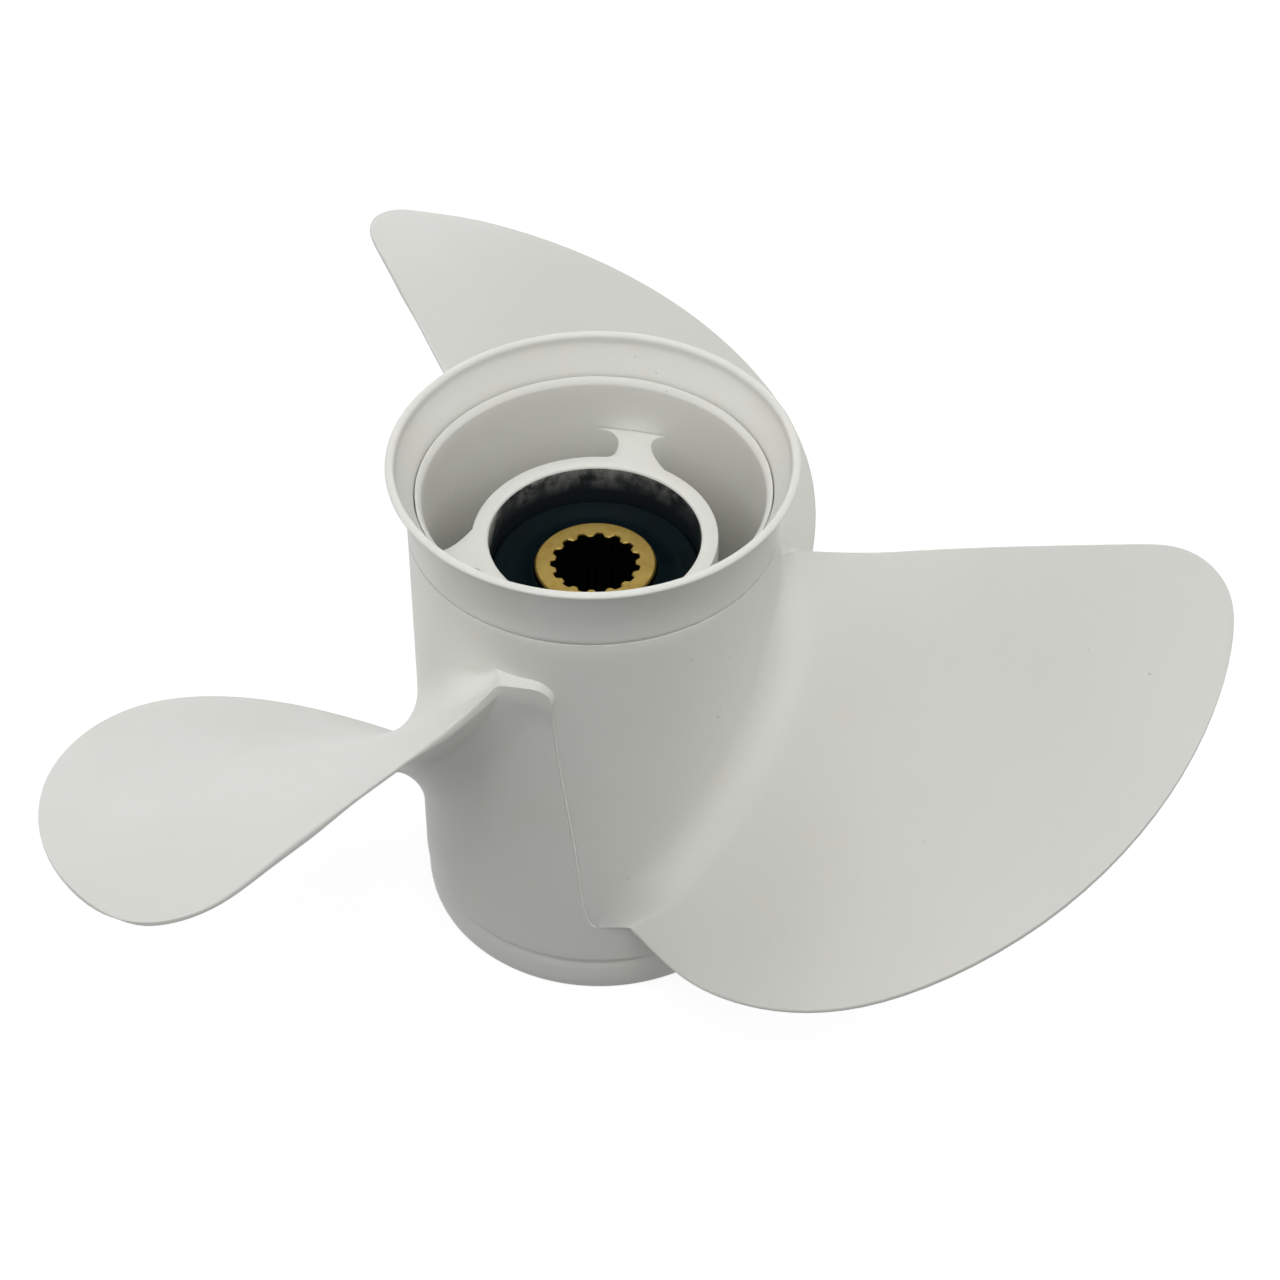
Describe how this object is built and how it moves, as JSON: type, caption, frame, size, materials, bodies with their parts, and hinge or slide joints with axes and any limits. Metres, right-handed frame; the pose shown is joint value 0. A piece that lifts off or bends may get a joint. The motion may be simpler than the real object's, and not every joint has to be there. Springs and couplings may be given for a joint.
{
  "type": "outboard boat propeller",
  "caption": "Right-hand outboard propeller with raked, skewed blades on a through-hub-exhaust barrel, a diffuser ring and a rubber cushion hub with a splined brass sleeve.",
  "frame": {"origin": "on the shaft axis, level with the front end face of the barrel, on which the propeller stands", "axes": "+Z along the shaft axis, pointing aft to the exhaust end; +X lies about 3 degrees from the first blade's trailing edge at mid-span"},
  "size_m": [0.3153, 0.3004, 0.1578],
  "materials": {
    "off_white_paint": "satin off-white paint on cast aluminium",
    "cushion_rubber": "matte black moulded rubber",
    "sleeve_brass": "machined brass with broached splines"
  },
  "bodies": {
    "propeller": {"barrel": "off_white_paint", "inner_hub": "off_white_paint", "rib_1": "off_white_paint", "rib_2": "off_white_paint", "rib_3": "off_white_paint", "blade_1": "off_white_paint", "blade_2": "off_white_paint", "blade_3": "off_white_paint", "diffuser_ring": "off_white_paint", "cushion_bush": "cushion_rubber"},
    "hub_sleeve": {"splined_sleeve": "sleeve_brass"}
  },
  "joints": [
    {"name": "cushion_windup", "type": "hinge", "parent": "propeller", "child": "hub_sleeve", "pos_m": [0, 0, 0.0771], "axis": [0, 0, 1], "range_deg": [-15, 15], "stiffness_Nm_per_rad": 540}
  ]
}
